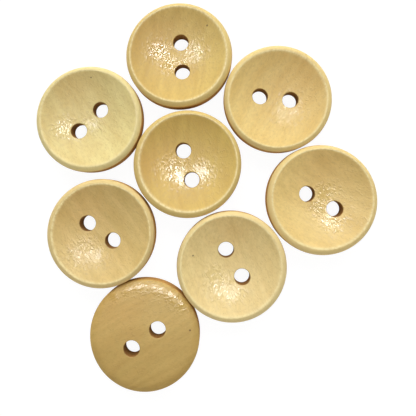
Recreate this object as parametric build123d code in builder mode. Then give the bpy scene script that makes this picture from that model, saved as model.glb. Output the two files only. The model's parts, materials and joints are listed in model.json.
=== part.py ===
from build123d import *
from math import cos, radians, sin
import os

# Eight turned wooden sewing buttons with two thread holes each. They lie on a table
# edge against edge, seven with the dished face up and one with its domed back up.
# Millimetres. The origin is on the table, under the middle of the set's outline.

# the turned body
diameter = 20.0
centre_thickness = 2.25
dish_depth = 2.25
rim_width = 0.9
back_rise = 0.5
shoulder_width = 1.7
shoulder_rise = 0.75
back_round = 0.5
lip_round = 0.25
lathe_play = 0.35

# the two thread holes
hole_diameter = 2.9
hole_spacing = 5.7
hole_edge_round = 0.15

# the room left between two buttons that lie against each other
edge_gap = 0.05

# How each button lies. x_ratio and y_ratio place it from the middle button, as shares of
# the pitch, and holes_turn is the direction of its pair of holes, in degrees from +X. The
# dish and the holes are never quite on centre: dish_drift and drill_drift are their x and
# y shifts, and no dish drifts further than lathe_play.
buttons = {
    "button_middle": {
        "x_ratio": 0.0, "y_ratio": 0.0, "holes_turn": 106,
        "dish_drift": (0.25, 0.24), "drill_drift": (0.0, -0.2), "face_up": True,
    },
    "button_upper_left": {
        "x_ratio": -0.918, "y_ratio": 0.421, "holes_turn": 45,
        "dish_drift": (0.05, 0.1), "drill_drift": (-0.2, -0.1), "face_up": True,
    },
    "button_top": {
        "x_ratio": -0.079, "y_ratio": 1.021, "holes_turn": 93,
        "dish_drift": (-0.15, 0.05), "drill_drift": (0.4, -0.1), "face_up": True,
    },
    "button_upper_right": {
        "x_ratio": 0.836, "y_ratio": 0.602, "holes_turn": 173,
        "dish_drift": (-0.1, -0.2), "drill_drift": (-0.3, 0.3), "face_up": True,
    },
    "button_right": {
        "x_ratio": 1.223, "y_ratio": -0.329, "holes_turn": 151,
        "dish_drift": (0.0, 0.3), "drill_drift": (0.1, -0.35), "face_up": True,
    },
    "button_lower_left": {
        "x_ratio": -0.792, "y_ratio": -0.638, "holes_turn": 146,
        "dish_drift": (0.25, 0.1), "drill_drift": (-0.4, 0.15), "face_up": True,
    },
    "button_lower_middle": {
        "x_ratio": 0.404, "y_ratio": -0.931, "holes_turn": 121,
        "dish_drift": (-0.2, 0.2), "drill_drift": (0.5, 0.4), "face_up": True,
    },
    "button_face_down": {
        "x_ratio": -0.384, "y_ratio": -1.552, "holes_turn": 36,
        "dish_drift": (0.1, 0.05), "drill_drift": (0.2, -0.3), "face_up": False,
    },
}

# Worked out from the sizes above. The rim's round reaches lathe_play inside the line
# where a centred dish meets it, so that a dish which has drifted still cuts the round.
height = centre_thickness + dish_depth
side_radius = diameter / 2
dish_radius = side_radius - rim_width
rim_round = rim_width + lathe_play
dome_radius = side_radius - shoulder_width
side_start = back_rise + shoulder_rise
side_height = height - side_start
pitch = diameter + edge_gap


def ball_radius(chord_radius, depth):
    # the ball whose cap is this deep where its edge circle has this radius
    return (chord_radius ** 2 + depth ** 2) / (2 * depth)


def turned_blank():
    # The half section: a domed back, a shoulder that rolls on from the dome in one smooth
    # line, a short upright side and a rounded rim.
    dome_ball = ball_radius(dome_radius, back_rise)
    widest_round = side_height / 2
    with BuildPart() as blank:
        with BuildSketch(Plane.XZ) as section:
            with BuildLine():
                dome = RadiusArc((0, 0), (dome_radius, back_rise), -dome_ball)
                shoulder = TangentArc(dome @ 1, (side_radius, side_start), tangent=dome % 1)
                side = Line(shoulder @ 1, (side_radius, height))
                top = Line(side @ 1, (0, height))
                Line(top @ 1, dome @ 0)
            make_face()
            back_corner = section.vertices().sort_by_distance(shoulder @ 1)[0]
            fillet(back_corner, min(back_round, widest_round))
            rim_corner = section.vertices().sort_by_distance(side @ 1)[0]
            fillet(rim_corner, min(rim_round, widest_round))
        revolve(axis=Axis.Z)
    return blank.part


def hole_pair(pair_turn, drill_drift):
    # centres of the two holes
    reach_x = cos(radians(pair_turn)) * hole_spacing / 2
    reach_y = sin(radians(pair_turn)) * hole_spacing / 2
    return [
        (drill_drift[0] + end * reach_x, drill_drift[1] + end * reach_y)
        for end in (-1, 1)
    ]


def turned_button(blank, pair_turn, dish_drift, drill_drift):
    # The blank is turned so that its seam runs between the holes. The dish is part of a
    # ball, turned so that its seam and its poles stay clear of the dish, and the holes run
    # straight through the floor.
    dish_ball = ball_radius(dish_radius, dish_depth)
    holes = hole_pair(pair_turn, drill_drift)
    with BuildPart() as made:
        add(blank, rotation=(0, 0, pair_turn + 90))
        with Locations((*dish_drift, centre_thickness + dish_ball)):
            Sphere(dish_ball, rotation=(90, 0, 0), mode=Mode.SUBTRACT)
        lip = made.edges(Select.LAST).sort_by(SortBy.LENGTH)[-1]
        fillet(lip, lip_round)
        with Locations(*holes):
            Hole(hole_diameter / 2)
        mouths = made.edges(Select.LAST).filter_by(GeomType.BSPLINE)
        fillet(mouths, hole_edge_round)
    return made.part


def mirrored(drift, side):
    # a shift as it is before its button is turned over, where side is -1
    return (side * drift[0], drift[1])


def resting_place(made, x_ratio, y_ratio, face_up):
    # on the table, and for a face-down button turned over about +Y onto its rim
    x = pitch * (x_ratio - middle_x_ratio)
    y = pitch * (y_ratio - middle_y_ratio)
    if face_up:
        return Location((x, y, 0))
    return Location((x, y, made.bounding_box().max.Z), (0, 180, 0))


x_ratios = [button["x_ratio"] for button in buttons.values()]
y_ratios = [button["y_ratio"] for button in buttons.values()]
middle_x_ratio = (min(x_ratios) + max(x_ratios)) / 2
middle_y_ratio = (min(y_ratios) + max(y_ratios)) / 2

os.makedirs("parts", exist_ok=True)
blank = turned_blank()
for name, button in buttons.items():
    side = 1 if button["face_up"] else -1
    dish_drift = mirrored(button["dish_drift"], side)
    drill_drift = mirrored(button["drill_drift"], side)
    made = turned_button(blank, side * button["holes_turn"], dish_drift, drill_drift)
    seat = resting_place(made, button["x_ratio"], button["y_ratio"], button["face_up"])
    with BuildPart() as placed:
        with Locations(seat):
            add(made)
    placed.part.label = name
    export_step(placed.part, "parts/" + name + ".step")
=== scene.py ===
import json
import math

import bpy
import numpy as np
from mathutils import Euler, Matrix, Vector


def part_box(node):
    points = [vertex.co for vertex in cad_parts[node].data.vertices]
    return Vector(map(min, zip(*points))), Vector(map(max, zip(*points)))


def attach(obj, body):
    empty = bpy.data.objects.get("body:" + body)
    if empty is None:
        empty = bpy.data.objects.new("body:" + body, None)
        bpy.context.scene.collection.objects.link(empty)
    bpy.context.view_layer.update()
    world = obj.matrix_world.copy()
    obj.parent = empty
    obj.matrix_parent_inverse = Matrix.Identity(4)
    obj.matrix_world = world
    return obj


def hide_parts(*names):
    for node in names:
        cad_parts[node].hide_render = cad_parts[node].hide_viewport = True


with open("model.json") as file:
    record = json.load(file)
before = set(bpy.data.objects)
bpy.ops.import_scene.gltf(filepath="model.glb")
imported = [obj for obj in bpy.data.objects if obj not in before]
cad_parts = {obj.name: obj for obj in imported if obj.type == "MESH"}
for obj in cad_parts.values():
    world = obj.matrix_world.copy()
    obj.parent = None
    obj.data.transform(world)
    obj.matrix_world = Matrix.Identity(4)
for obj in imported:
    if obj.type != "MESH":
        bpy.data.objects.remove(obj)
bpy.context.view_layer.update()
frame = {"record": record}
print("stage 1: the packed buttons are loaded")

mm = 0.001

# The turned body that every button shares, in millimetres.
body = {
    "height": 4.5,             # of a rim that no dish has cut
    "centreThickness": 2.25,   # of the floor in the dish's middle
    "dishDepth": 2.25,
    "rimWidth": 0.9,           # from the dish's edge to the outside
    "rimRound": 1.25,
    "backRise": 0.5,           # how far the domed back climbs to its shoulder
    "shoulderWidth": 1.7,
    "shoulderRise": 0.75,
    "backRound": 0.5,          # where the shoulder meets the upright side
    "lipBlend": 0.16,          # how softly the dish turns into the rim
    "holeRadius": 1.45,
    "holeRound": 0.15,
    "innerCircle": 5.3,        # round both holes, where the mesh changes its layout
}

# How finely each part of the surface is divided.
meshSteps = {
    "arc": 128,                # round one half of the inner circle
    "bisector": 64,            # along the straight line between the holes
    "floor": 15,               # from a hole to those lines
    "holeRound": 5,
    "wall": 5,
    "dish": 15,                # from the inner circle to the rim
    "lip": 16,                 # over the lip and the top of the rim
    "rim": 12,                 # round the rest of the rim's quarter circle
    "side": 5,
    "backRound": 9,
    "shoulder": 13,
    "dome": 10,                # from the shoulder to the inner circle
}

# Where rows of the mesh lie. The first three are distances in mm from where the rim's round
# starts or from the outside, and crowding above 1 draws the floor's rows to the hole.
rowPlaces = {"dishEnd": 0.1, "lipStart": 0.04, "lipEnd": 0.45, "crowding": 1.25}
weldDigits = 4                 # of a millimetre, to which points that meet are the same

# One entry for each button. dishDrift is the dish's shift off centre in mm, grainTurn the
# direction of the grain in degrees from +X, pale and deep the two tones of the wood (0-255),
# peel how far the lacquer's ripples tilt the surface, gloss its roughness and shine how much
# it mirrors. pools are the places (x, y and reach in mm from the middle) where lacquer has
# gathered, blush the place that is warmer, fade a painted slope of light and shade, how much
# paler the wood is painted with each mm along X and Y, and speck a dark dot in the wood.
buttons = {
    "button_middle": {
        "dishDrift": (0.25, 0.24), "grainTurn": 100,
        "pale": (224, 192, 94), "deep": (206, 168, 76),
        "peel": 1.15, "gloss": 0.05, "shine": 0.31,
        "pools": ((-2.2, -0.9, 2.6), (-1.2, -2.9, 1.6), (2.6, -1.6, 2.0)),
        "blush": (-6.0, 1.5, 5.0), "paintedLightFade": (0.03, 0.0), "speck": None,
    },
    "button_upper_left": {
        "dishDrift": (0.05, 0.1), "grainTurn": 125,
        "pale": (247, 230, 158), "deep": (227, 203, 130),
        "peel": 1.6, "gloss": 0.07, "shine": 0.2,
        "pools": ((-4.6, -1.8, 2.0), (-2.8, -2.6, 1.5), (0.3, -0.6, 1.6)),
        "blush": (-3.0, 6.0, 4.0), "paintedLightFade": (0.045, 0.0), "speck": (0.3, 7.8, 0.13),
    },
    "button_top": {
        "dishDrift": (-0.15, 0.05), "grainTurn": 80,
        "pale": (230, 199, 108), "deep": (211, 174, 85),
        "peel": 1.3, "gloss": 0.05, "shine": 0.27,
        "pools": ((-3.7, 1.0, 2.0), (-1.9, -1.3, 1.9), (0.6, -1.6, 1.6), (2.9, 0.6, 2.1)),
        "blush": (-5.0, 4.5, 5.5), "paintedLightFade": (0.045, 0.0), "speck": (5.3, 5.5, 0.16),
    },
    "button_upper_right": {
        "dishDrift": (-0.1, -0.2), "grainTurn": 60,
        "pale": (245, 216, 137), "deep": (233, 197, 114),
        "peel": 1.5, "gloss": 0.06, "shine": 0.2,
        "pools": ((2.2, -1.8, 2.4), (1.4, -3.4, 2.0)),
        "blush": (4.0, 5.0, 6.0), "paintedLightFade": (-0.02, 0.0), "speck": None,
    },
    "button_right": {
        "dishDrift": (0.0, 0.3), "grainTurn": 150,
        "pale": (247, 216, 137), "deep": (227, 194, 114),
        "peel": 1.5, "gloss": 0.05, "shine": 0.27,
        "pools": ((0.9, 1.0, 1.8), (-0.1, -1.4, 2.0), (1.6, -3.8, 2.2)),
        "blush": (0.0, 6.0, 4.0), "paintedLightFade": (-0.06, 0.0), "speck": None,
    },
    "button_lower_left": {
        "dishDrift": (0.25, 0.1), "grainTurn": 130,
        "pale": (238, 209, 138), "deep": (212, 181, 106),
        "peel": 1.6, "gloss": 0.07, "shine": 0.2,
        "pools": ((-3.4, -3.6, 2.6), (-1.2, -4.2, 1.8)),
        "blush": (-4.0, 5.5, 5.5), "paintedLightFade": (0.0, 0.0), "speck": None,
    },
    "button_lower_middle": {
        "dishDrift": (-0.2, 0.2), "grainTurn": 110,
        "pale": (248, 223, 154), "deep": (233, 206, 136),
        "peel": 1.6, "gloss": 0.07, "shine": 0.24,
        "pools": ((-3.0, -1.6, 1.8), (-2.0, -3.6, 2.3), (0.0, -4.8, 1.8)),
        "blush": (0.0, 7.0, 4.0), "paintedLightFade": (-0.03, 0.0), "speck": (-7.0, 1.9, 0.14),
    },
    "button_face_down": {
        "dishDrift": (0.1, 0.05), "grainTurn": 30,
        "pale": (213, 180, 102), "deep": (194, 159, 83),
        "peel": 0.9, "gloss": 0.16, "shine": 0.25,
        "pools": (
            (7.0, 5.6, 1.4), (5.0, 7.5, 1.5), (2.4, 8.6, 1.6),
            (-0.4, 9.0, 1.5), (-3.0, 8.4, 1.2), (-5.6, 7.0, 0.9),
        ),
        "blush": (-5.0, 5.0, 5.0), "paintedLightFade": (0.0, 0.03), "speck": (8.3, 1.2, 0.17),
    },
}

# Where light is painted on the rim. The first is the height difference in mm over which the
# rim's lip takes its painted highlight, and bandStart that over which the rim's painted paler
# light begins.
paintedLightWidths = {"lipHighlightWidth": 0.14, "bandStart": 0.3}

# The radius of the upright side, as packed.
boxes = [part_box(name) for name in buttons]
sideRadius = min(min(high.x - low.x, high.y - low.y) for low, high in boxes) / 2 / mm


def ballRadius(chordRadius, depth):
    # The ball whose cap is this deep where its edge circle has this radius.
    return (chordRadius ** 2 + depth ** 2) / (2 * depth)


def lowerOf(first, second, blend):
    # The lower of two heights, with the corner where they cross rounded over the blend.
    share = np.clip(0.5 + 0.5 * (second - first) / blend, 0, 1)
    return second + (first - second) * share - blend * share * (1 - share)


def faceSurfaces(x, y, drift):
    # The two surfaces of a button's face, as heights: a ball's inside, centred on the
    # drift, and a flat top whose outer edge is a quarter circle.
    dishBall = ballRadius(sideRadius - body["rimWidth"], body["dishDepth"])
    away = (x - drift[0]) ** 2 + (y - drift[1]) ** 2
    dish = body["centreThickness"] + dishBall - np.sqrt(dishBall ** 2 - away)
    over = np.clip(np.hypot(x, y) - sideRadius + body["rimRound"], 0, body["rimRound"])
    rim = body["height"] - body["rimRound"] + np.sqrt(body["rimRound"] ** 2 - over ** 2)
    return dish, rim


def faceHeight(x, y, drift):
    # The face is the lower of its two surfaces everywhere.
    return lowerOf(*faceSurfaces(x, y, drift), body["lipBlend"])


def backHeight(x, y):
    # The back's middle is a ball's outside that touches the table.
    domeBall = ballRadius(sideRadius - body["shoulderWidth"], body["backRise"])
    return domeBall - np.sqrt(domeBall ** 2 - x ** 2 - y ** 2)


def backSection():
    # The back's line from the upright side in to the dome, as reaches and heights. A small
    # round leads into a wide one, whose circle touches the dome at the dome's edge and
    # passes through the place where the unrounded side would begin.
    domeReach = sideRadius - body["shoulderWidth"]
    slope = math.asin(domeReach / ballRadius(domeReach, body["backRise"]))
    width, rise, small = body["shoulderWidth"], body["shoulderRise"], body["backRound"]
    wide = (width ** 2 + rise ** 2) / (2 * (rise * math.cos(slope) - width * math.sin(slope)))
    wideReach = domeReach - wide * math.sin(slope)
    wideZ = body["backRise"] + wide * math.cos(slope)
    smallReach = sideRadius - small
    smallZ = wideZ - math.sqrt((wide - small) ** 2 - (smallReach - wideReach) ** 2)
    meet = math.atan2(smallReach - wideReach, wideZ - smallZ)
    lean = np.linspace(math.pi / 2, meet, meshSteps["backRound"])
    reach, z = smallReach + small * np.sin(lean), smallZ - small * np.cos(lean)
    lean = np.linspace(meet, slope, meshSteps["shoulder"])[1:]
    reach = np.concatenate([reach, wideReach + wide * np.sin(lean)])
    return reach, np.concatenate([z, wideZ - wide * np.cos(lean)])


def bell(x, y, place):
    # 1 at the place, falling smoothly with the distance, and almost 0 at twice its reach.
    return np.exp(-((x - place[0]) ** 2 + (y - place[1]) ** 2) / place[2] ** 2)


def woodMasks(points, drift, button, side):
    # Five masks: lip, a narrow bell over the line where the dish meets the rim, which takes a
    # painted highlight, band, which is 1 on the rim outside that line, painted paler as light,
    # pool, the highest of the pools' bells on the side that shows, blush, the warm place's
    # bell, and fade, a painted slope of light and shade over the button.
    x, y, z = points.T
    dish, rim = faceSurfaces(x, y, drift)
    onFace = z > (np.minimum(dish, rim) + backHeight(x, y)) / 2
    shown = onFace if side > 0 else ~onFace
    pool = np.max([bell(side * x, y, place) for place in button["pools"]], axis=0)
    return {
        "lip": np.exp(-((dish - rim) / paintedLightWidths["lipHighlightWidth"]) ** 2) * onFace,
        "band": np.clip((dish - rim) / paintedLightWidths["bandStart"], 0, 1) * onFace,
        "pool": pool * shown,
        "blush": bell(side * x, y, button["blush"]),
        "paintedLightFade": side * x * button["paintedLightFade"][0] + y * button["paintedLightFade"][1],
    }


def holeSheet(hole, middle, drift):
    # Half of the floor with one hole in it, as one grid. Its outer line is the half circle
    # round the pair's middle and the straight line between the holes. Rows run from that
    # line inwards over the back to the hole, up its wall, and out again over the face to
    # the same line. Each edge of the wall is a quadratic curve, square to the surface.
    along = (hole - middle) / np.linalg.norm(hole - middle)
    across = np.array([-along[1], along[0]])
    turn = np.linspace(-math.pi / 2, math.pi / 2, meshSteps["arc"] + 1)[:, None]
    arc = middle + body["innerCircle"] * (along * np.cos(turn) + across * np.sin(turn))
    straight = np.linspace(1, -1, meshSteps["bisector"] + 1)[1:-1, None]
    line = np.vstack([arc, middle + body["innerCircle"] * across * straight])
    ray = line - hole
    ray = ray / np.linalg.norm(ray, axis=1)[:, None]
    wall = hole + ray * body["holeRadius"]
    mouth = hole + ray * (body["holeRadius"] + body["holeRound"])
    share = np.linspace(0, 1, meshSteps["floor"] + 1)[:, None, None] ** rowPlaces["crowding"]
    floor = mouth + (line - mouth) * share
    faceZ = faceHeight(floor[..., 0], floor[..., 1], drift)
    backZ = backHeight(floor[..., 0], floor[..., 1])

    bend = np.linspace(0, 1, meshSteps["holeRound"] + 1)[1:-1, None]
    wallFace = faceHeight(wall[:, 0], wall[:, 1], drift)
    wallBack = backHeight(wall[:, 0], wall[:, 1])
    xyBend = (1 - bend[..., None]) ** 2 * mouth + (1 - (1 - bend[..., None]) ** 2) * wall
    corner = 2 * bend * (1 - bend) + bend ** 2
    faceBend = (1 - bend) ** 2 * faceZ[0] + corner * wallFace - bend ** 2 * body["holeRound"]
    backBend = (1 - bend) ** 2 * backZ[0] + corner * wallBack + bend ** 2 * body["holeRound"]
    rise = np.linspace(0, 1, meshSteps["wall"] + 1)[:, None]
    low, high = wallBack + body["holeRound"], wallFace - body["holeRound"]
    wallZ = low + (high - low) * rise
    wallXy = np.broadcast_to(wall, (len(rise), *wall.shape))

    xy = np.concatenate([floor[::-1], xyBend, wallXy, xyBend[::-1], floor])
    z = np.concatenate([backZ[::-1], backBend, wallZ, faceBend[::-1], faceZ])
    flat, upright = np.zeros(len(floor)), np.ones(len(rise))
    inside = np.concatenate([flat, bend[:, 0], upright, bend[::-1, 0], flat])
    return np.dstack([xy, z]), np.broadcast_to(inside[:, None], z.shape)


def ringSheet(along, middle, drift):
    # The rest of the button as one grid. Rows run from the circle round both holes out over
    # the dish to the rim, along the rim's quarter circle, down the upright side, round the
    # back's shoulder and in again over the dome to the same circle.
    across = np.array([-along[1], along[0]])
    count = 2 * meshSteps["arc"]
    turn = (-math.pi / 2 + np.arange(count) * math.pi / meshSteps["arc"])[:, None]
    ray = along * np.cos(turn) + across * np.sin(turn)
    inner = middle + body["innerCircle"] * ray

    rimStart = sideRadius - body["rimRound"]
    share = np.linspace(0, 1, meshSteps["dish"] + 1)[:, None, None]
    dishXy = inner + (ray * (rimStart - rowPlaces["dishEnd"]) - inner) * share
    lipRows = rimStart - rowPlaces["lipStart"], sideRadius - rowPlaces["lipEnd"]
    reach = np.linspace(*lipRows, meshSteps["lip"])
    lean = np.arccos((reach[-1] - rimStart) / body["rimRound"])
    lean = np.linspace(lean, 0, meshSteps["rim"])[1:]
    reach = np.concatenate([reach, rimStart + body["rimRound"] * np.cos(lean)])
    rimXy = reach[:, None, None] * ray
    faceXy = np.concatenate([dishXy, rimXy])
    faceZ = faceHeight(faceXy[..., 0], faceXy[..., 1], drift)

    backReach, backZ = backSection()
    side = np.linspace(body["height"] - body["rimRound"], backZ[0], meshSteps["side"])[1:-1]
    outReach = np.concatenate([np.full(len(side), sideRadius), backReach])
    outZ = np.concatenate([side, backZ])
    outXy = outReach[:, None, None] * ray
    outZ = np.broadcast_to(outZ[:, None], (len(outZ), count))
    share = np.linspace(0, 1, meshSteps["dome"])[1:, None, None]
    domeXy = outXy[-1] + (inner - outXy[-1]) * share
    domeZ = backHeight(domeXy[..., 0], domeXy[..., 1])

    xy = np.concatenate([faceXy, outXy, domeXy])
    z = np.concatenate([faceZ, outZ, domeZ])
    return np.dstack([xy, z]), np.zeros(z.shape)


def gridQuads(rows, columns, start):
    # Four-cornered faces of a grid whose columns close on themselves.
    index = start + np.arange(rows * columns).reshape(rows, columns)
    after = np.roll(index, -1, axis=1)
    quads = np.stack([index[:-1], index[1:], after[1:], after[:-1]], axis=-1)
    return quads.reshape(-1, 4)


def weld(sheets):
    # The grids as one set of points and faces, with the points that meet made one, and how
    # far each point lies inside a hole.
    points, inside, quads, start = [], [], [], 0
    for grid, mask in sheets:
        points.append(grid.reshape(-1, 3))
        inside.append(mask.reshape(-1))
        quads.append(gridQuads(*mask.shape, start))
        start += mask.size
    points, inside, quads = np.vstack(points), np.concatenate(inside), np.vstack(quads)
    rounded = np.round(points, weldDigits)
    _, first, same = np.unique(rounded, axis=0, return_index=True, return_inverse=True)
    return points[first], inside[first], same.reshape(-1)[quads]


def faceKinds(points, quads, holeWall):
    # Which material a face takes: 1 on a hole's wall, 2 on the upright side, where the
    # normal, square to both diagonals, has little height, and 0 on the rest.
    first = points[quads[:, 2]] - points[quads[:, 0]]
    second = points[quads[:, 3]] - points[quads[:, 1]]
    normals = np.cross(first, second)
    steep = np.abs(normals[:, 2]) < sideWoodPaintedShade["steepness"] * np.linalg.norm(normals, axis=1)
    drilled = holeWall[quads].mean(axis=1) > 0.5
    return np.where(drilled, 1, np.where(steep, 2, 0))


def makeButton(name, button):
    # Both halves round the holes and the ring are welded where their lines meet, and a
    # button that lies face down is turned over about the Y axis.
    low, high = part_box(name)
    centre = np.array([low.x + high.x, low.y + high.y]) / 2 / mm
    side = -1 if name == "button_face_down" else 1
    holes = [np.array(place[:2]) / mm - centre for place in holePlaces(name)]
    holes = [hole * (side, 1) for hole in holes]
    middle = (holes[0] + holes[1]) / 2
    along = (holes[0] - middle) / np.linalg.norm(holes[0] - middle)
    drift = (side * button["dishDrift"][0], button["dishDrift"][1])
    halves = [holeSheet(hole, middle, drift) for hole in holes]
    points, holeWall, quads = weld([*halves, ringSheet(along, middle, drift)])
    masks = {"holeWall": holeWall, **woodMasks(points, drift, button, side)}
    if side < 0:
        points = points * (-1, 1, -1) + (0, 0, (high.z - low.z) / mm)
    points = (points + (*centre, 0)) * mm

    mesh = bpy.data.meshes.new(name + "_wood")
    mesh.from_pydata(points.tolist(), [], quads.tolist())
    mesh.polygons.foreach_set("use_smooth", np.ones(len(quads), bool))
    for label, values in masks.items():
        attribute = mesh.attributes.new(label, "FLOAT", "POINT")
        attribute.data.foreach_set("value", values.astype(np.float32))
    mesh.update()
    piece = bpy.data.objects.new(name + "_wood", mesh)
    bpy.context.collection.objects.link(piece)
    for material in (woodMaterial(name, button, centre), drilledAndShadedMaterial, sidePaintedShadeMaterial):
        mesh.materials.append(material)
    kinds = faceKinds(points, quads, holeWall)
    mesh.polygons.foreach_set("material_index", kinds.astype(np.int32))
    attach(piece, "root")
    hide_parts(name)


def holePlaces(name):
    # The middles of a button's two holes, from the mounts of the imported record.
    start = name.replace("button_", "") + "_thread_hole_"
    mounts = frame["record"]["mounts"]
    return [mount["pos_m"] for mount in mounts if mount["name"].startswith(start)]


def linear(colour):
    # A colour written as 0-255 screen values, as the linear values that shaders take.
    share = np.array(colour) / 255
    level = np.where(share <= 0.04045, share / 12.92, ((share + 0.055) / 1.055) ** 2.4)
    return (*level.tolist(), 1.0)


def newNode(tree, kind, inputs=None, **settings):
    node = tree.nodes.new(kind)
    for key, value in settings.items():
        setattr(node, key, value)
    for key, value in (inputs or {}).items():
        if isinstance(value, bpy.types.NodeSocket):
            tree.links.new(value, node.inputs[key])
        else:
            node.inputs[key].default_value = value
    return node


def mathNode(tree, operation, first, second=0.5, third=0.5, clamp=False):
    inputs = {0: first, 1: second, 2: third}
    node = newNode(tree, "ShaderNodeMath", inputs, operation=operation, use_clamp=clamp)
    return node.outputs[0]


def vectorNode(tree, operation, first, second):
    node = newNode(tree, "ShaderNodeVectorMath", {0: first, 1: second}, operation=operation)
    return node.outputs["Value" if operation == "DISTANCE" else "Vector"]


def mixColour(tree, share, first, second):
    inputs = {"Factor": share, 6: first, 7: second}
    return newNode(tree, "ShaderNodeMix", inputs, data_type="RGBA").outputs[2]


def noise(tree, vector, scale, detail, distortion):
    # Noise from 0 to 1, with its own scale along each axis.
    stretched = vectorNode(tree, "MULTIPLY", vector, scale)
    inputs = {"Vector": stretched, "Scale": 1.0, "Detail": detail, "Distortion": distortion}
    return newNode(tree, "ShaderNodeTexNoise", inputs).outputs["Fac"]


def ramp(tree, value, start, end):
    # 0 at the start and 1 at the end, with a smooth step between.
    inputs = {"Value": value, "From Min": start, "From Max": end}
    node = newNode(tree, "ShaderNodeMapRange", inputs, interpolation_type="SMOOTHSTEP")
    return node.outputs["Result"]


def newGroup(name, *labels):
    # A node group that takes a vector in mm, with X along the grain, and puts out values.
    group = bpy.data.node_groups.new(name, "ShaderNodeTree")
    group.interface.new_socket("Vector", in_out="INPUT", socket_type="NodeSocketVector")
    for label in labels:
        group.interface.new_socket(label, in_out="OUTPUT", socket_type="NodeSocketFloat")
    return group, newNode(group, "NodeGroupInput").outputs["Vector"]


def newMaterial(name):
    material = bpy.data.materials.new(name)
    material.use_nodes = True
    return material, material.node_tree, material.node_tree.nodes["Principled BSDF"]


def addBump(tree, shader, height):
    # The height is in millimetres.
    bump = newNode(tree, "ShaderNodeBump", {"Height": height, "Distance": mm})
    tree.links.new(bump.outputs["Normal"], shader.inputs["Normal"])


# The grain. Each pattern gives its scale along and across the fibres, its detail and its
# distortion. heart is how far off in mm the middle of the tree lies, rings how close the
# growth bands are, bendReach how far in mm they wander, and a weight how much a pattern adds
# to the tone.
grainPattern = {
    "clouds": ((0.12, 0.3, 0.3), 2.0, 0.0), "cloudWeight": 1.3,
    "fibres": ((0.35, 3.2, 3.2), 3.0, 0.4), "fibreWeight": 0.35,
    "bends": ((0.05, 0.2, 0.2), 1.0, 0.0), "bendReach": 9.0,
    "heart": (21.0, 9.0), "rings": 2.6, "ringWeight": 0.15,
    "toneStart": -0.32,
    "pores": ((1.1, 7.5, 7.5), 1.0, 0.0), "poreEdge": (0.64, 0.72),
}


def makeGrainGroup():
    # Close-grained wood. Tone runs from 0, deep, to 1, pale: broad clouds, growth bands
    # round a far-off heart, and long fine fibres. Pores is a mask of short dark dashes, and
    # Relief the height of the fibres.
    group, vector = newGroup("closeGrain", "Tone", "Pores", "Relief")
    pattern = grainPattern
    cloud = noise(group, vector, *pattern["clouds"])
    fibre = noise(group, vector, *pattern["fibres"])
    bend = noise(group, vector, *pattern["bends"])
    parts = newNode(group, "ShaderNodeSeparateXYZ", {0: vector})
    wide = mathNode(group, "ADD", parts.outputs["Y"], pattern["heart"][0])
    deep = mathNode(group, "ADD", parts.outputs["Z"], pattern["heart"][1])
    reach = mathNode(group, "MULTIPLY", wide, wide)
    reach = mathNode(group, "SQRT", mathNode(group, "MULTIPLY_ADD", deep, deep, reach))
    reach = mathNode(group, "MULTIPLY_ADD", bend, pattern["bendReach"], reach)
    ring = mathNode(group, "SINE", mathNode(group, "MULTIPLY", reach, pattern["rings"]))
    tone = mathNode(group, "MULTIPLY_ADD", cloud, pattern["cloudWeight"], pattern["toneStart"])
    tone = mathNode(group, "MULTIPLY_ADD", ring, pattern["ringWeight"], tone)
    tone = mathNode(group, "MULTIPLY_ADD", fibre, pattern["fibreWeight"], tone, clamp=True)
    dash = noise(group, vector, *pattern["pores"])
    pores = ramp(group, dash, *pattern["poreEdge"])
    newNode(group, "NodeGroupOutput", {"Tone": tone, "Pores": pores, "Relief": fibre})
    return group


# The unevenness of polished wood, given as the grain is.
dapplePattern = {
    "dapple": ((1.5, 2.3, 2.3), 3.0, 0.3), "dappleEdge": (0.3, 0.7),
    "patches": ((0.25, 0.38, 0.38), 2.0, 0.8), "patchEdge": (0.35, 0.65),
}


def makeDappleGroup():
    # Dapple is a fine, cloudy unevenness from 0 to 1. Patches are slow places over which
    # the wood turns warmer and the lacquer duller.
    group, vector = newGroup("polishDapple", "Dapple", "Patches")
    pattern = dapplePattern
    dapple = noise(group, vector, *pattern["dapple"])
    patches = noise(group, vector, *pattern["patches"])
    newNode(group, "NodeGroupOutput", {
        "Dapple": ramp(group, dapple, *pattern["dappleEdge"]),
        "Patches": ramp(group, patches, *pattern["patchEdge"]),
    })
    return group


# The ripples of the lacquer, finer across the fibres than along them.
ripplePattern = {"ripples": ((1.5, 2.4, 2.4), 2.5, 0.7)}


def makeLacquerGroup():
    # The ripples that a thin lacquer keeps over raised fibres, as a height from 0 to 1.
    group, vector = newGroup("lacquerRipple", "Height")
    height = noise(group, vector, *ripplePattern["ripples"])
    newNode(group, "NodeGroupOutput", {"Height": height})
    return group


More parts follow.
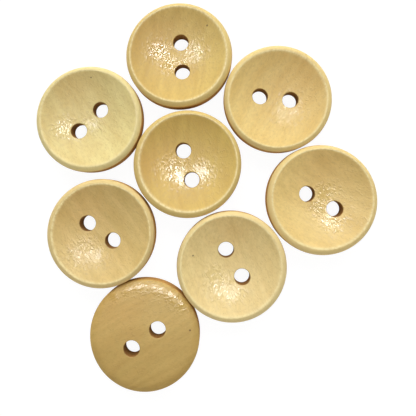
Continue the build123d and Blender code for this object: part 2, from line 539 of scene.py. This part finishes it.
# What all the buttons' wood and lacquer share. Colours are 0-255, and a share is how far a
# colour takes the wood over where its mask is 1.
sharedWood = {
    "warm": (228, 166, 84), "warmShare": 0.16,      # the blush and the warm patches
    "patchWarmth": 0.4,                             # the patches against the blush
    "shade": (168, 130, 70), "shadeShare": 0.15,    # the darker grains of the dapple
    "pore": (150, 116, 62), "poreShare": 0.22,
    "speck": (96, 62, 28), "speckShare": 0.8,
    "speckEdge": 0.4,                               # how soft the speck's edge is
    "rimPaintedLightShare": 0.7,                             # painted light: the rim, towards the button's pale
    "band": (232, 212, 156), "bandPaintedLightShare": 0.35,     # painted light: the rim outside the lip, made paler
    "lip": (252, 234, 172), "lipHighlightShare": 0.75,       # a painted highlight on the line between dish and rim
    "lipHighlightBreakup": (-0.7, 1.2),                         # how the dapple breaks that painted highlight up
    "side": (194, 152, 92), "sidePaintedShadeShare": 0.9,       # painted shade: the rim's foot, a darker brown
    "hole": (124, 84, 40), "holeShadeShare": 0.85,       # the rounds that lead into the holes: darker drilled wood and painted shade
    "upright": (0.5, 0.05),                         # a normal's height, as the foot starts
    "uprightRoughness": 0.5,                        # how much rougher the foot is
    "rimRoughness": 0.05,                           # how much rougher the rim is
    "dullness": 0.05,                               # how much rougher the patches are
    "dryRoughness": 0.6,                            # outside the pools of lacquer
    "poolFray": 0.6,                                # how ragged the pools are
    "poolEdge": (0.3, 1.1),
    "rippleDepth": 0.1,                             # mm, in a pool whose peel is 1
    "dryRipple": 0.15,                              # the share of it outside the pools
    "fibreDepth": 0.004,                            # mm
    "grainTilt": (0.05, 0.08),                      # of the fibres, in radians
    "cutShift": (13.7, 4.247),                      # mm, from one button's cut to the next
}


def woodVector(tree, objectPlace, name, button, centre):
    # Object coordinates in mm from the button's middle, turned so that X runs along the
    # grain, and moved on so that each button is cut from another place in the wood.
    inputs = {"Vector": objectPlace}
    mapping = newNode(tree, "ShaderNodeMapping", inputs, vector_type="TEXTURE")
    mapping.inputs["Location"].default_value = (centre[0] * mm, centre[1] * mm, 0)
    turn = math.radians(button["grainTurn"])
    mapping.inputs["Rotation"].default_value = (*sharedWood["grainTilt"], turn)
    mapping.inputs["Scale"].default_value = (mm, mm, mm)
    place = list(buttons).index(name)
    shift = [place * step for step in sharedWood["cutShift"]]
    return vectorNode(tree, "ADD", mapping.outputs[0], (*shift, 0))


def speckMask(tree, objectPlace, speck, centre):
    # 1 on a round speck of the given place and reach, seen from above.
    x, y, reach = speck
    level = vectorNode(tree, "MULTIPLY", objectPlace, (1 / mm, 1 / mm, 0))
    apart = vectorNode(tree, "DISTANCE", level, (centre[0] + x, centre[1] + y, 0))
    edge = sharedWood["speckEdge"]
    return ramp(tree, apart, reach * (1 + edge), reach * (1 - edge))


def woodMaterial(name, button, centre):
    # The same build for every button, with its own tones, grain direction and lacquer.
    wood = sharedWood
    material, tree, shader = newMaterial(name.replace("button", "wood"))
    objectPlace = newNode(tree, "ShaderNodeTexCoord").outputs["Object"]
    vector = woodVector(tree, objectPlace, name, button, centre)
    grain, lacquer, polish = [
        newNode(tree, "ShaderNodeGroup", {"Vector": vector}, node_tree=group).outputs
        for group in (grainGroup, lacquerGroup, dappleGroup)
    ]
    dapple, patches = polish["Dapple"], polish["Patches"]
    masks = {
        label: newNode(tree, "ShaderNodeAttribute", attribute_name=label).outputs["Fac"]
        for label in ("holeWall", "lip", "band", "pool", "blush", "paintedLightFade")
    }
    normal = newNode(tree, "ShaderNodeNewGeometry").outputs["Normal"]
    upright = newNode(tree, "ShaderNodeSeparateXYZ", {0: normal}).outputs["Z"]
    upright = ramp(tree, mathNode(tree, "ABSOLUTE", upright), *wood["upright"])

    def layer(colour, mask, label, shareLabel):
        # The colour so far, taken over by one of the shared colours where the mask is 1.
        share = mathNode(tree, "MULTIPLY", mask, wood[shareLabel], clamp=True)
        return mixColour(tree, share, colour, linear(wood[label]))

    # Painted light and shade: the fade makes the tone paler or darker across the button.
    tone = mathNode(tree, "ADD", grain["Tone"], masks["paintedLightFade"], clamp=True)
    colour = mixColour(tree, tone, linear(button["deep"]), linear(button["pale"]))
    warm = mathNode(tree, "MULTIPLY_ADD", patches, wood["patchWarmth"], masks["blush"])
    colour = layer(colour, warm, "warm", "warmShare")
    colour = layer(colour, dapple, "shade", "shadeShare")
    colour = layer(colour, grain["Pores"], "pore", "poreShare")
    if button["speck"]:
        speck = speckMask(tree, objectPlace, button["speck"], centre)
        colour = layer(colour, speck, "speck", "speckShare")
    # Painted light: the rim outside the lip is made paler, to lift its shaded slopes.
    rimPaintedLight = mathNode(tree, "MULTIPLY", masks["band"], wood["rimPaintedLightShare"])
    colour = mixColour(tree, rimPaintedLight, colour, linear(button["pale"]))
    colour = layer(colour, masks["band"], "band", "bandPaintedLightShare")
    # Painted highlight: a pale line where the dish meets the rim, broken up by the dapple.
    lipHighlightLine = mathNode(tree, "MULTIPLY_ADD", dapple, *wood["lipHighlightBreakup"])
    lipHighlightLine = mathNode(tree, "MULTIPLY", masks["lip"], lipHighlightLine)
    colour = layer(colour, lipHighlightLine, "lip", "lipHighlightShare")
    # Painted shade: the rim's foot, where the normal lies low, turns darker brown.
    colour = layer(colour, upright, "side", "sidePaintedShadeShare")
    # The rounds into the holes turn dark brown: the drilled wood's own tone and painted shade.
    colour = layer(colour, masks["holeWall"], "hole", "holeShadeShare")
    tree.links.new(colour, shader.inputs["Base Color"])

    pool = mathNode(tree, "MULTIPLY_ADD", dapple, wood["poolFray"], masks["pool"])
    pool = ramp(tree, pool, *wood["poolEdge"])
    full, dry = wood["rippleDepth"] * button["peel"], wood["dryRipple"]
    depth = mathNode(tree, "MULTIPLY_ADD", pool, full * (1 - dry), full * dry)
    height = mathNode(tree, "MULTIPLY", lacquer["Height"], depth)
    height = mathNode(tree, "MULTIPLY_ADD", grain["Relief"], wood["fibreDepth"], height)
    addBump(tree, shader, height)
    inputs = {"Value": pool, "To Min": wood["dryRoughness"], "To Max": button["gloss"]}
    rough = newNode(tree, "ShaderNodeMapRange", inputs).outputs["Result"]
    rough = mathNode(tree, "MULTIPLY_ADD", upright, wood["uprightRoughness"], rough)
    rough = mathNode(tree, "MULTIPLY_ADD", masks["band"], wood["rimRoughness"], rough)
    rough = mathNode(tree, "MULTIPLY_ADD", patches, wood["dullness"], rough)
    tree.links.new(rough, shader.inputs["Roughness"])
    shader.inputs["Specular IOR Level"].default_value = button["shine"]
    return material


# Bare wood without lacquer. Its browns hold painted shade: the upright side's darker brown is
# painted shade, and so is a part of the holes' brown, whose drilled wood is also darker of its
# own. Colours are 0-255, grain is a pattern as above, depth the height of its roughness in mm,
# and shine how much it mirrors. steepness is the height of a unit normal, under which a face
# belongs to the upright side.
# Its dark brown is partly the drilled wood's own tone and partly painted shade in the holes.
drilledWoodAndShade = {
    "deep": (136, 94, 46), "pale": (174, 128, 72), "grain": ((5.0, 5.0, 1.5), 2.0, 0.0),
    "depth": 0.03, "roughness": 0.85, "shine": 0.05,
}
# The upright side's darker brown is painted shade.
sideWoodPaintedShade = {
    "deep": (186, 138, 76), "pale": (214, 168, 102), "grain": ((3.5, 3.5, 1.0), 3.0, 0.0),
    "depth": 0.03, "roughness": 0.9, "shine": 0.0, "steepness": 0.3,
}


def bareMaterial(name, wood):
    # Matt wood with upright fibres: a hole's wall, brown partly of its own and partly as
    # painted shade, or the upright side, darker brown as painted shade.
    material, tree, shader = newMaterial(name)
    objectPlace = newNode(tree, "ShaderNodeTexCoord").outputs["Object"]
    vector = vectorNode(tree, "MULTIPLY", objectPlace, (1 / mm, 1 / mm, 1 / mm))
    fibre = noise(tree, vector, *wood["grain"])
    colour = mixColour(tree, fibre, linear(wood["deep"]), linear(wood["pale"]))
    tree.links.new(colour, shader.inputs["Base Color"])
    addBump(tree, shader, mathNode(tree, "MULTIPLY", fibre, wood["depth"]))
    shader.inputs["Roughness"].default_value = wood["roughness"]
    shader.inputs["Specular IOR Level"].default_value = wood["shine"]
    return material


grainGroup = makeGrainGroup()
lacquerGroup = makeLacquerGroup()
dappleGroup = makeDappleGroup()
drilledAndShadedMaterial = bareMaterial("drilledWoodAndShade", drilledWoodAndShade)
sidePaintedShadeMaterial = bareMaterial("sideWoodPaintedShade", sideWoodPaintedShade)
for name, button in buttons.items():
    makeButton(name, button)
print("stage 2: the buttons are turned, drilled and lacquered")

# The table: white to the camera, with enough of a matt surface to keep a soft shadow. radius
# is in metres, and bounce is how much light it throws back on the buttons.
table = {"radius": 0.9, "sides": 96, "glow": 0.95, "matt": 0.11, "bounce": 0.85}


def seenDirectly(tree):
    # 1 for a ray from the camera, or one mirrored or let through on its way, and 0 for light.
    path = newNode(tree, "ShaderNodeLightPath").outputs
    either = mathNode(tree, "MAXIMUM", path["Is Camera Ray"], path["Is Glossy Ray"])
    return mathNode(tree, "MAXIMUM", either, path["Is Transmission Ray"])


def makeTable():
    # A flat disc at the height of the buttons' lowest points.
    turn = np.linspace(0, 2 * math.pi, table["sides"], endpoint=False)
    edge = np.stack([np.cos(turn), np.sin(turn), 0 * turn], axis=1) * table["radius"]
    mesh = bpy.data.meshes.new("tableTop")
    mesh.from_pydata(edge.tolist(), [], [list(range(table["sides"]))])
    piece = bpy.data.objects.new("tableTop", mesh)
    bpy.context.collection.objects.link(piece)
    material = bpy.data.materials.new("tableWhite")
    material.use_nodes = True
    tree = material.node_tree
    tree.nodes.clear()
    bounce = newNode(tree, "ShaderNodeBsdfDiffuse", {"Color": (*[table["bounce"]] * 3, 1)})
    matt = newNode(tree, "ShaderNodeBsdfDiffuse", {"Color": (*[table["matt"]] * 3, 1)})
    glow = newNode(tree, "ShaderNodeEmission", {"Strength": table["glow"]})
    seen = newNode(tree, "ShaderNodeAddShader", {0: matt.outputs[0], 1: glow.outputs[0]})
    inputs = {0: seenDirectly(tree), 1: bounce.outputs[0], 2: seen.outputs[0]}
    mix = newNode(tree, "ShaderNodeMixShader", inputs)
    newNode(tree, "ShaderNodeOutputMaterial", {"Surface": mix.outputs[0]})
    mesh.materials.append(material)


# Studio light. Directions point from the buttons to the lamp, distance and size are in
# metres, and glow is the brightness of the lamp's face, where 1 is white. A lamp that doesn't
# light the wood only shows in the lacquer, and one that isn't mirrored never does.
lamps = {
    "softKey": {
        "direction": (0.03, 0.86, 0.5), "distance": 0.6, "size": (0.8, 0.5), "glow": 3.45,
        "lights": True, "mirrored": True,
    },
    "sparkleStrip": {
        "direction": (-0.02, 0.3, 0.95), "distance": 0.5, "size": (0.42, 0.11), "glow": 50.0,
        "lights": False, "mirrored": True,
    },
    "frontFill": {
        "direction": (0.0, -0.9, 0.43), "distance": 0.6, "size": (0.8, 0.4), "glow": 0.85,
        "lights": True, "mirrored": False,
    },
}
air = {"light": 0.3}           # the even light from all round, where 1 is white


def makeLamp(name, lamp):
    width, depth = lamp["size"]
    data = bpy.data.lights.new(name, "AREA")
    data.shape = "RECTANGLE"
    data.size, data.size_y = width, depth
    data.energy = lamp["glow"] * math.pi * width * depth
    piece = bpy.data.objects.new(name, data)
    direction = Vector(lamp["direction"]).normalized()
    piece.location = direction * lamp["distance"]
    piece.rotation_euler = direction.to_track_quat("Z", "Y").to_euler()
    piece.visible_diffuse = lamp["lights"]
    piece.visible_glossy = lamp["mirrored"]
    bpy.context.collection.objects.link(piece)


def makeAir():
    # White where it is seen or mirrored, and dimmer as light.
    world = bpy.data.worlds.new("studioAir")
    world.use_nodes = True
    bpy.context.scene.world = world
    tree = world.node_tree
    background = tree.nodes["Background"]
    background.inputs["Color"].default_value = (1, 1, 1, 1)
    inputs = {"Value": seenDirectly(tree), "To Min": air["light"]}
    strength = newNode(tree, "ShaderNodeMapRange", inputs)
    tree.links.new(strength.outputs["Result"], background.inputs["Strength"])


makeTable()
for name, lamp in lamps.items():
    makeLamp(name, lamp)
makeAir()
print("stage 3: table and light are set")

# The camera, as fitted to the eight outlines: place, lens and sensor in mm, tilt in degrees,
# and what it can see, from near to far, in metres.
view = {
    "place": (1.987, 0.474, 80.09), "tilt": (3.658, 1.823, 0.0), "lens": 36.0, "sensor": 36,
    "shift": (0.0162, -0.1071), "near": 0.01, "far": 10,
}


def makeCamera():
    data = bpy.data.cameras.new("camera")
    data.lens = view["lens"]
    data.sensor_width = view["sensor"]
    data.shift_x, data.shift_y = view["shift"]
    data.clip_start, data.clip_end = view["near"], view["far"]
    piece = bpy.data.objects.new("camera", data)
    piece.location = Vector(view["place"]) * mm
    piece.rotation_euler = Euler([math.radians(angle) for angle in view["tilt"]])
    bpy.context.collection.objects.link(piece)
    bpy.context.scene.camera = piece


makeCamera()
bpy.context.scene.view_settings.view_transform = "Standard"
print("stage 4: the camera is set")
